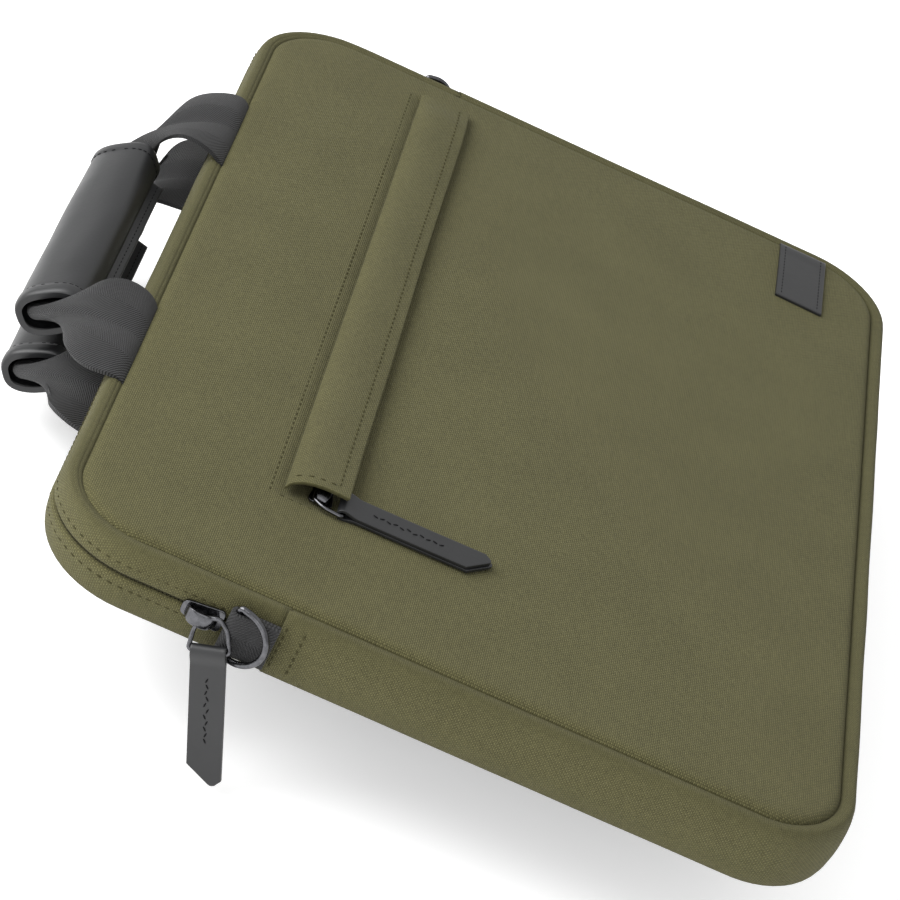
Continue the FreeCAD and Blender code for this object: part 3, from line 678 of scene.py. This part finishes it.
# the storm flap over the pocket's zip
pocketZip = joints["pocket_pull_ring_swing"]["pos_m"][1]
flap = {"left": flapLow.x, "right": flapHigh.x, "root": flapHigh.y, "edge": flapLow.y, "arch": 3.6 * mm,
        "edgeLift": 1.6 * mm, "liftedEnd": 3.4 * mm, "liftReach": 30 * mm, "layer": 0.7 * mm, "hem": 4 * mm,
        "clear": 1.2 * mm, "farTack": 22 * mm, "wave": 0.35 * mm, "long": 289 * mm, "wide": 20 * mm,
        "columns": 150, "rows": 18}


def flapSurface(u, v, sink=0.0):
    x = flap["left"] + (flap["right"] - flap["left"]) * u
    y = flap["root"] + (flap["edge"] - flap["root"]) * v
    lifted = flap["liftedEnd"] * math.exp(-(x - flap["left"]) / flap["liftReach"])
    arched = math.sin(math.pi * min(1, v ** 0.62 * 0.95)) ** 0.9
    rise = flap["arch"] * arched + (flap["edgeLift"] + lifted) * v
    tacked = smoothStep((flap["right"] - x) / flap["farTack"])
    rise = rise * (0.35 + 0.65 * tacked)
    wave = noise.noise(Vector((x * 18, y * 30, 5.5))) * flap["wave"] * v
    drift = noise.noise(Vector((x * 12, 0, 9))) * 0.3 * mm * v
    level = settle((x, y, frontLevel + shell["dome"] + coverRise(x, y))).z
    return Vector((x, y - drift, level + flap["clear"] + rise + wave - sink))


def flapUnderside(u, v):
    # the facing under the flap, set in a little from its edges
    return flapSurface(u, v, flap["layer"] + 0.12 * mm) + Vector((0.5 * mm, 0.4 * mm * v, 0))


def flapWeave(u, v):
    return u * (flap["right"] - flap["left"]), v * 24 * mm


for name, surface in (("stormFlap", flapSurface), ("stormFlapUnder", flapUnderside)):
    layer = sheetPiece(name, flap["columns"], flap["rows"], surface, flapWeave, flap["layer"], rim=0.15 * mm,
                       flip=True)
    dress(layer, canvasCloth)
    if name == "stormFlap":
        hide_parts("storm_flap")
    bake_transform(layer)


def alongFlap(x):
    return flapSurface((x - flap["left"]) / (flap["right"] - flap["left"]), 0.79) + stitchStand


def acrossFlap(s):
    return flapSurface(flap["hem"] / flap["long"], s / flap["wide"]) + stitchStand


stitchStand = Vector((0, 0, 0.05 * mm))
edgeRun = stitchRun("flapEdgeStitches", alongFlap, flap["left"] + flap["hem"], flap["right"] - 2 * mm)
endRun = stitchRun("flapEndStitches", acrossFlap, 1 * mm, 15.5 * mm)
for run in (edgeRun, endRun):
    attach(dress(run, oliveThread), "storm_flap")


def onFront(y):
    return lambda x: Vector((x, y, frontSurface(x, y)))


rootRun = stitchRun("flapRootStitches", onFront(flap["root"] + 4 * mm), flap["left"] - 3 * mm,
                    flap["right"] + 1 * mm)
acrossFold(dress(rootRun, oliveThread))
cornerStart = Vector((flap["left"] - 2.6 * mm, flap["root"] + 1.5 * mm))


def cornerLine(s):
    x, y = cornerStart.x - s * 0.05, cornerStart.y - s
    return Vector((x, y, frontSurface(x, y)))


cornerRun = stitchRun("openingStitches", cornerLine, 0, 13 * mm)
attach(dress(cornerRun, oliveThread), "shell")

coilLow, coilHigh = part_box("pocket_zip_coil")
pocketBand = {"wide": 6 * mm, "thick": 0.4 * mm, "level": frontSurface(0, pocketZip) - 0.45 * mm}


def pocketTapeSurface(u, v):
    return Vector((coilLow.x + (coilHigh.x - coilLow.x) * u, pocketZip + (v - 0.5) * pocketBand["wide"],
                   pocketBand["level"]))


pocketTape = sheetPiece("pocketZipTape", 60, 4, pocketTapeSurface,
                        lambda u, v: (u * (coilHigh.x - coilLow.x), v * pocketBand["wide"]),
                        pocketBand["thick"])
dress(pocketTape, tapeCloth)
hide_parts("pocket_zip_tape")
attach(pocketTape, "shell")


def pocketTeeth(start, end):
    bm = bmesh.new()
    count = int((end - start) / zipBand["toothPitch"])
    for n in range(count):
        for way in (-1, 1):
            centre = Vector((start + (n + 0.25 * way) * zipBand["toothPitch"], pocketZip + way * 0.35 * mm,
                             pocketBand["level"]))
            size = (zipBand["toothLong"] / 2, zipBand["toothTall"] / 2 + 0.3 * mm, 0.35 * mm, 1)
            addBall(bm, Matrix.Translation(centre) @ Matrix.Diagonal(size))
    return dress(meshPiece("pocketZipCoil", bm), tapeCloth)


pocketCoil = pocketTeeth(coilLow.x + 2 * mm, coilHigh.x - 2 * mm)
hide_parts("pocket_zip_coil")
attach(pocketCoil, "shell")
print("storm flap and pocket zip made")


# the blank leather label in the right seam
labelLow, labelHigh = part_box("label_patch")
label = {"thick": 1.2 * mm, "long": 45 * mm, "wide": 20 * mm, "stitchRadius": 0.22 * mm}


def labelSurface(u, v):
    x = labelLow.x + (labelHigh.x - labelLow.x) * u
    y = labelLow.y + (labelHigh.y - labelLow.y) * v
    return Vector((x, y, frontSurface(x, y) + label["thick"]))


patch = sheetPiece("labelPatch", 44, 20, labelSurface, lambda u, v: (u * label["long"], v * label["wide"]),
                   label["thick"], rim=0.25 * mm)
dress(patch, blackLeather)
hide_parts("label_patch")
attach(patch, "shell")
for n, v in enumerate((0.11, 0.89)):
    run = stitchRun(f"labelStitches{n}", lambda s, v=v: labelSurface(s / label["long"], v), 2 * mm, 42 * mm,
                    pitch=fineStitch["pitch"], radius=label["stitchRadius"])
    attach(dress(run, blackThread), "shell")
print("label made")


# the handles
handle = {"strapSpacing": 78 * mm, "halfStrap": 25 * mm, "webThick": 1.5 * mm, "root": halfHeight - 1 * mm,
          "gripRound": 66 * mm, "flangeLong": 98 * mm,
          "gripMiddle": -1 * mm, "gripHalf": 57 * mm, "gripWide": 12.5 * mm, "gripDeep": 8.3 * mm,
          "gripWall": 2 * mm, "bandWide": 6 * mm, "foldHalf": 9.3 * mm, "foldRadius": 2.4 * mm,
          "leave": 43.7 * mm, "outerLeave": 37.6 * mm, "innerLeave": 16.9 * mm, "enter": 31.8 * mm,
          "outerEnter": 37.3 * mm, "rise": 1.0, "arch": 3.3 * mm, "flare": 0.24, "backRise": -0.25,
          "rollClear": 2.6 * mm, "rollAt": 0.07, "aboveFrontSeam": 0.8 * mm, "aboveBackSeam": 0.4 * mm}


def foldedEnd(w):
    # the strap's section inside the grip, folded in half along its outer edge: (out, up)
    half, r = handle["foldHalf"], handle["foldRadius"]
    straight = 2 * half - r
    total = 2 * straight + math.pi * r
    s = (w + 1) / 2 * total
    if s < straight:
        return -half + s, r
    if s > straight + math.pi * r:
        return -half + total - s, -r
    turn = (s - straight) / r
    return -half + straight + r * math.sin(turn), r * math.cos(turn)


def strapSurface(hinge, seamLevel, side, reach, outWay, upWay):
    # each yarn leaves the seam, rises a little, and turns into the grip; the outer ones pass underneath
    def surface(t, v):
        w = 2 * v - 1
        outer, inner = max(0, w), max(0, -w)
        start = Vector((side * (handle["strapSpacing"] + w * handle["halfStrap"]), handle["root"], seamLevel))
        out, up = foldedEnd(w)
        endX = handle["gripMiddle"] + side * (handle["gripHalf"] - 5 * mm)
        end = hinge + outWay * (reach + out) + upWay * up + Vector((endX, 0, 0))
        away = 1 if seamLevel > frontLevel / 2 else handle["backRise"]
        leaveWay = Vector((side * handle["flare"] * w, 1, away * handle["rise"] * (1 - outer))).normalized()
        leaveWay *= handle["leave"] + handle["outerLeave"] * outer + handle["innerLeave"] * inner
        enterWay = Vector((-side, 0, 0)) * (handle["enter"] + handle["outerEnter"] * outer)
        a, b = 2 * t ** 3 - 3 * t ** 2 + 1, t ** 3 - 2 * t ** 2 + t
        c, d = -2 * t ** 3 + 3 * t ** 2, t ** 3 - t ** 2
        overRoll = math.copysign(handle["rollClear"], away) * (0.3 + 0.7 * outer)
        near = t / handle["rollAt"]
        lift = upWay * handle["arch"] * math.sin(math.pi * t) ** 2
        lift += Vector((0, 0, overRoll * near * math.exp(1 - near)))
        return start * a + leaveWay * b + end * c + enterWay * d + lift
    return surface


def makeHandle(prefix, seamLevel, body):
    hinge = Vector(joints[f"{body}_swing"]["pos_m"])
    middle = sum(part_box(f"{body}_grip"), Vector()) / 2 - hinge
    middle.x = 0
    reach, outWay = middle.length, middle.normalized()
    upWay = Vector((1, 0, 0)).cross(outWay)
    for side, end in ((-1, "Left"), (1, "Right")):
        surface = strapSurface(hinge, seamLevel, side, reach, outWay, upWay)
        turned = surface if side < 0 else lambda u, v, s=surface: s(u, 1 - v)
        strap = sheetPiece(f"{prefix}{end}Strap", 54, 44, turned, lambda u, v: (u * 72 * mm, v * 50 * mm),
                           handle["webThick"], rim=0.2 * mm)
        dress(strap, webCloth)
        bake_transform(strap)
    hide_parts(f"{body}_strap")

    def gripSurface(u, v):
        turn = 2 * math.pi * u
        x = handle["gripMiddle"] + (2 * v - 1) * handle["gripHalf"]
        power = 2 / 2.7
        c, s = math.cos(turn), math.sin(turn)
        fromEnd = min(v, 1 - v) * 2 * handle["gripHalf"]
        band = 0.35 * mm * (1 - smoothStep((fromEnd - handle["bandWide"]) / (0.8 * mm)))
        groove = -0.35 * mm * math.exp(-((fromEnd - handle["bandWide"] - 0.2 * mm) / (0.5 * mm)) ** 2)
        rimRoll = -0.9 * mm * (1 - smoothStep(fromEnd / (1.6 * mm)))
        soft = 0.25 * mm * noise.noise(Vector((x * 40, c * 1.5, s * 1.5 + hinge.z * 99)))
        grow = band + groove + rimRoll + soft
        slim = 0.4 * mm * (1 - fromEnd / handle["gripHalf"])
        out = math.copysign(abs(c) ** power, c) * (handle["gripWide"] + grow - slim)
        up = math.copysign(abs(s) ** power, s) * (handle["gripDeep"] + grow)
        return hinge + outWay * (reach + out) + upWay * up + Vector((x, 0, 0))
    grip = sheetPiece(f"{prefix}Grip", 56, 110, gripSurface,
                      lambda u, v: (u * handle["gripRound"], v * 2 * handle["gripHalf"]), handle["gripWall"],
                      closed=True)
    dress(grip, blackLeather)
    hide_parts(f"{body}_grip")
    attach(grip, body)

    def flangeSurface(u, v):
        # the stitched flange that closes the grip along its inner side
        x = handle["gripMiddle"] + (2 * u - 1) * (handle["gripHalf"] - handle["bandWide"] - 4 * mm)
        return (hinge + outWay * (reach - handle["gripWide"] + 1.8 * mm - 3.4 * mm * v)
                + upWay * (-4.4 * mm - 3.6 * mm * v) + Vector((x, 0, 0)))
    flangeLong = handle["flangeLong"]
    flange = sheetPiece(f"{prefix}GripFlange", 60, 5, flangeSurface,
                        lambda u, v: (u * flangeLong, v * 6 * mm), 1.8 * mm, rim=0.4 * mm, flip=True)
    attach(dress(flange, blackLeather), body)
    bandShare = handle["bandWide"] / (2 * handle["gripHalf"])
    for n, along in enumerate((bandShare, 1 - bandShare)):
        run = stitchRun(f"{prefix}GripStitches{n}",
                        lambda s, along=along: gripSurface((s / handle["gripRound"]) % 1, along),
                        0, handle["gripRound"], pitch=fineStitch["pitch"], radius=fineStitch["radius"])
        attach(dress(run, blackThread), body)
    run = stitchRun(f"{prefix}FlangeStitches", lambda s: flangeSurface(s / flangeLong, 0.55), 1 * mm,
                    flangeLong - 1 * mm, pitch=stitch["seamPitch"], radius=fineStitch["radius"])
    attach(dress(run, blackThread), body)


frontSeamLevel = settle((0, handle["root"], creaseHigh)).z + handle["aboveFrontSeam"]
makeHandle("front", frontSeamLevel, "front_handle")
makeHandle("back", creaseLow + handle["aboveBackSeam"], "back_handle")
print("handles made")


# leather pullers, webbing tabs and metal
puller = {"halfWide": 5.5 * mm, "long": 50 * mm, "layer": 1.0 * mm, "gap": 0.12 * mm, "loop": 2.1 * mm,
          "cut": 7.4 * mm, "smallCut": 2.2 * mm, "slip": 0.9 * mm}


def foldedStrip(origin, acrossWay, alongWay, faceWay, strip, frontLong, backLong, bend=0.0):
    # a strip that comes up its back, round a bar at origin and down its front; v = 0 is the back's end
    outer, loop = strip["layer"] + strip["gap"], strip["loop"]

    def surface(u, v):
        x = (2 * u - 1) * strip["halfWide"]
        front, back = frontLong(x), backLong(x)
        neck = 5 * mm
        turnLong = math.pi * loop
        total = back + turnLong + front
        s = v * total
        if s < back:
            y = back - s
            z = -outer - (loop - outer) * (1 - smoothStep(y / neck))
        elif s > back + turnLong:
            y = s - back - turnLong
            z = outer + (loop - outer) * (1 - smoothStep(y / neck))
        else:
            turn = (s - back) / loop
            y, z = -loop * math.sin(turn), -loop * math.cos(turn)
        sway = bend * (y / (50 * mm)) ** 2
        return origin + acrossWay * x + alongWay * y + faceWay * (z + sway)
    return surface


def pullerPiece(name, origin, acrossWay, alongWay, faceWay, body, bend):
    def frontLong(x):
        longCut = max(0, puller["cut"] - (x + puller["halfWide"]))
        shortCut = max(0, puller["smallCut"] - (puller["halfWide"] - x))
        return puller["long"] - longCut - shortCut

    def backLong(x):
        return frontLong(x) + puller["slip"]
    surface = foldedStrip(origin, acrossWay, alongWay, faceWay, puller, frontLong, backLong, bend)
    strip = sheetPiece(name, 16, 130, surface, lambda u, v: (u * 2 * puller["halfWide"], v * 106 * mm),
                       puller["layer"], rim=0.16 * mm, flip=True)
    dress(strip, blackLeather)
    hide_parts(body)
    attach(strip, body)

    def zigzag(s):
        n = s / (2.1 * mm)
        sway = (abs(n % 2 - 1) - 0.5) * 0.9 * mm
        y = 9 * mm + s
        return (origin + acrossWay * sway + alongWay * y
                + faceWay * (puller["layer"] + puller["gap"] + 0.02 * mm + bend * (y / (50 * mm)) ** 2))
    run = stitchRun(f"{name}Stitches", zigzag, 0, 25.2 * mm, pitch=2.1 * mm, share=1.0, radius=0.32 * mm)
    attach(dress(run, blackThread), body)


ringFoot = Vector(joints["main_pull_ring_swing"]["pos_m"])
ringBar = Vector(joints["main_puller_lift"]["pos_m"])
hangWay = (ringBar - ringFoot).normalized()
sideWay = Vector((-1, 0, 0)).cross(hangWay).normalized()
pullerPiece("mainPuller", ringBar, sideWay, hangWay, Vector((-1, 0, 0)), "main_puller", 0.6 * mm)
pocketBar = Vector(joints["pocket_puller_lift"]["pos_m"])
pullerPiece("pocketPuller", pocketBar, Vector((1, 0, 0)), Vector((0, -1, 0)), Vector((0, 0, 1)),
            "pocket_puller", 0.5 * mm)

tab = {"halfWide": 8 * mm, "layer": 1.3 * mm, "foot": 13.6 * mm, "gap": 0.05 * mm, "loop": 2.45 * mm}
for side, name in ((-1, "left"), (1, "right")):
    pin = Vector(joints[f"{name}_d_ring_swing"]["pos_m"])
    sideOut = Vector((side, 0, 0))
    surface = foldedStrip(pin, Vector((0, 0, side)), Vector((0, -1, 0)), sideOut, tab, lambda x: tab["foot"],
                          lambda x: tab["foot"])
    webTab = sheetPiece(f"{name}RingTab", 12, 40, surface, lambda u, v: (v * 34 * mm, u * 16 * mm + 4 * mm),
                        tab["layer"], rim=0.15 * mm)
    dress(webTab, webCloth)
    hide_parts(f"{name}_ring_tab")
    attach(webTab, "shell")

crown = {"long": 13.5 * mm, "wide": 8.6 * mm, "plate": 0.9 * mm, "archWide": 5.6 * mm, "archThick": 0.8 * mm,
         "corner": 1.7 * mm, "rim": 0.16 * mm}


def sliderPiece(name, start, zipWay, faceWay, height, below):
    # a zip slider: two plates, a post, and a tent-shaped crown that the ring hangs from
    sideWay = faceWay.cross(zipWay)
    turn = Matrix((zipWay, sideWay, faceWay)).transposed().to_4x4()

    def plate(bm, low, thick, wide):
        size = Matrix.Diagonal((crown["long"], wide, thick, 1))
        place = Matrix.Translation((crown["long"] / 2, 0, low + thick / 2)) @ size
        corners = bmesh.ops.create_cube(bm, size=1, matrix=place)["verts"]
        for v in corners:
            if v.co.x > crown["long"] * 0.9:
                v.co.y *= 0.62
        upright = {e for v in corners for e in v.link_edges
                   if abs(e.verts[0].co.z - e.verts[1].co.z) > thick / 2}
        roundEdges(bm, upright, crown["corner"], segments=4)
    bm = bmesh.new()
    plate(bm, 0, crown["plate"], crown["wide"])
    plate(bm, -below - crown["plate"] * 0.7, crown["plate"] * 0.7, crown["wide"] * 0.92)
    post = Matrix.Translation((9 * mm, 0, -below / 2)) @ Matrix.Diagonal((4.5 * mm, crown["plate"], below, 1))
    bmesh.ops.create_cube(bm, size=1, matrix=post)
    roundEdges(bm, bm.edges, crown["rim"])
    bmesh.ops.recalc_face_normals(bm, faces=bm.faces[:])
    bmesh.ops.transform(bm, matrix=Matrix.Translation(start) @ turn, verts=bm.verts[:])
    body = dress(meshPiece(f"{name}Body", bm), darkMetal)

    def archSurface(u, v):
        w = 2 * v - 1
        x = 1.3 * mm + (crown["long"] - 2.6 * mm) * u
        lift = (1 - abs(2 * u - 1) ** 3.2) ** 0.8
        z = crown["plate"] * 0.4 + (height - crown["plate"] * 0.4) * lift - 0.7 * mm * abs(w) ** 1.6 * lift
        y = w * crown["archWide"] / 2 * (0.55 + 0.45 * lift)
        return start + zipWay * x + sideWay * y + faceWay * z
    arch = sheetPiece(f"{name}Crown", 36, 10, archSurface, lambda u, v: (u * 14 * mm, v * 6 * mm),
                      crown["archThick"], rim=0.2 * mm)
    dress(arch, darkMetal)
    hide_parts(name)
    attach(body, name)
    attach(arch, name)


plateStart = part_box("main_slider")[0]
mainStart = Vector((-halfWidth - bulge - 0.55 * mm, plateStart.y, zipLevel))
sliderPiece("main_slider", mainStart, Vector((0, 1, 0)), Vector((-1, 0, 0)), 5.2 * mm, 3.9 * mm)
pocketStart = Vector((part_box("pocket_slider")[0].x, pocketZip, frontLevel + 0.55 * mm))
sliderPiece("pocket_slider", pocketStart, Vector((1, 0, 0)), Vector((0, 0, 1)), 3.5 * mm, 1.7 * mm)


def ringPiece(name, foot, bar, faceWay, sink):
    # a bent wire: its far bar is where the puller folds, and its near end dips under the crown
    alongWay = (bar - foot).normalized()
    sideWay = faceWay.cross(alongWay)
    reach = (bar - foot).length
    corners = [(-6.4 * mm, reach, 0), (6.4 * mm, reach, 0),
               (5.2 * mm, 1.5 * mm, -sink * 0.8), (2.6 * mm, -2.2 * mm, -sink),
               (-2.6 * mm, -2.2 * mm, -sink), (-5.2 * mm, 1.5 * mm, -sink * 0.8)]
    curve = bpy.data.curves.new(name, "CURVE")
    curve.dimensions = "3D"
    curve.bevel_depth, curve.bevel_resolution = 0.75 * mm, 3
    curve.resolution_u = 4
    line = curve.splines.new("BEZIER")
    line.bezier_points.add(2 * len(corners) - 1)
    line.use_cyclic_u = True
    spots = [foot + sideWay * x + alongWay * y + faceWay * z for x, y, z in corners]
    for n, spot in enumerate(spots):
        before, after = spots[n - 1], spots[(n + 1) % len(spots)]
        for k, other in enumerate((before, after)):
            point = line.bezier_points[2 * n + k]
            away = (other - spot).normalized() * 1.2 * mm
            point.co = spot + away
            point.handle_left = point.co + away * (0.3 if k == 0 else -0.55)
            point.handle_right = point.co - away * (0.55 if k == 0 else -0.3)
    thing = bpy.data.objects.new(name, curve)
    bpy.context.collection.objects.link(thing)
    bpy.context.view_layer.update()
    mesh = bpy.data.meshes.new_from_object(thing.evaluated_get(bpy.context.evaluated_depsgraph_get()))
    bpy.data.objects.remove(thing)
    bm = bmesh.new()
    bm.from_mesh(mesh)
    bmesh.ops.remove_doubles(bm, verts=bm.verts[:], dist=1e-6)
    bmesh.ops.recalc_face_normals(bm, faces=bm.faces[:])
    for face in bm.faces:
        face.smooth = True
    ring = dress(meshPiece(f"{name}Wire", bm), darkMetal)
    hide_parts(name)
    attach(ring, name)


ringPiece("main_pull_ring", ringFoot, ringBar, Vector((-1, 0, 0)), 3.2 * mm)
ringPiece("pocket_pull_ring", Vector(joints["pocket_pull_ring_swing"]["pos_m"]), pocketBar,
          Vector((0, 0, 1)), 0.3 * mm)
for nodeName in ("left_d_ring", "right_d_ring"):
    metal = bpy.data.objects[nodeName].data.materials
    metal.clear()
    metal.append(darkMetal)
print("pullers, tabs and metal made")

# view, light and floor
view = {"eye": (-0.9512, 0.1253, 0.5878), "right": (0.14289, -0.90828, 0.39320),
        "down": (-0.52311, -0.40656, -0.74905), "ahead": (0.84020, -0.09866, -0.53322), "lens": 126.2,
        "sensor": 36}
cameraData = bpy.data.cameras.new("camera")
cameraData.lens, cameraData.sensor_width = view["lens"], view["sensor"]
camera = bpy.data.objects.new("camera", cameraData)
bpy.context.collection.objects.link(camera)
axes = Matrix((view["right"], [-d for d in view["down"]], [-a for a in view["ahead"]])).transposed()
camera.matrix_world = Matrix.Translation(view["eye"]) @ axes.to_4x4()
bpy.context.scene.camera = camera

low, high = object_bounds()
floorLevel = low.z - 2 * mm
bm = bmesh.new()
bmesh.ops.create_grid(bm, x_segments=1, y_segments=1, size=6)
bmesh.ops.translate(bm, verts=bm.verts[:], vec=(0, 0, floorLevel))
paper = bpy.data.materials.new("paper")
paper.use_nodes = True
paperShader = paper.node_tree.nodes["Principled BSDF"]
paperShader.inputs["Base Color"].default_value = (0.9, 0.9, 0.9, 1)
paperShader.inputs["Roughness"].default_value = 1
paperShader.inputs["Emission Color"].default_value = (1, 1, 1, 1)
paperShader.inputs["Emission Strength"].default_value = 0.4
floor = meshPiece("floor", bm)
floor.data.materials.append(paper)


def areaLight(name, place, aim, size, power):
    light = bpy.data.lights.new(name, "AREA")
    light.shape = "RECTANGLE"
    light.size, light.size_y = size
    light.energy = power
    lamp = bpy.data.objects.new(name, light)
    bpy.context.collection.objects.link(lamp)
    lamp.location = place
    lamp.rotation_euler = (Vector(aim) - Vector(place)).to_track_quat("-Z", "Y").to_euler()
    return lamp


lamps = [areaLight("window", (-0.2, 1.3, 1.0), (0, 0, 0), (1.6, 1.2), 37),
         areaLight("overhead", (0.2, 0.0, 1.7), (0, 0, 0), (2.2, 2.2), 3),
         areaLight("sideFill", (-1.6, 0.1, 0.7), (0, 0, 0), (1.4, 1.0), 6)]
world = bpy.data.worlds.new("studio")
world.use_nodes = True
world.node_tree.nodes["Background"].inputs[0].default_value = (1, 1, 1, 1)
world.node_tree.nodes["Background"].inputs[1].default_value = 0.7
bpy.context.scene.world = world
bpy.context.scene.view_settings.view_transform = "Standard"
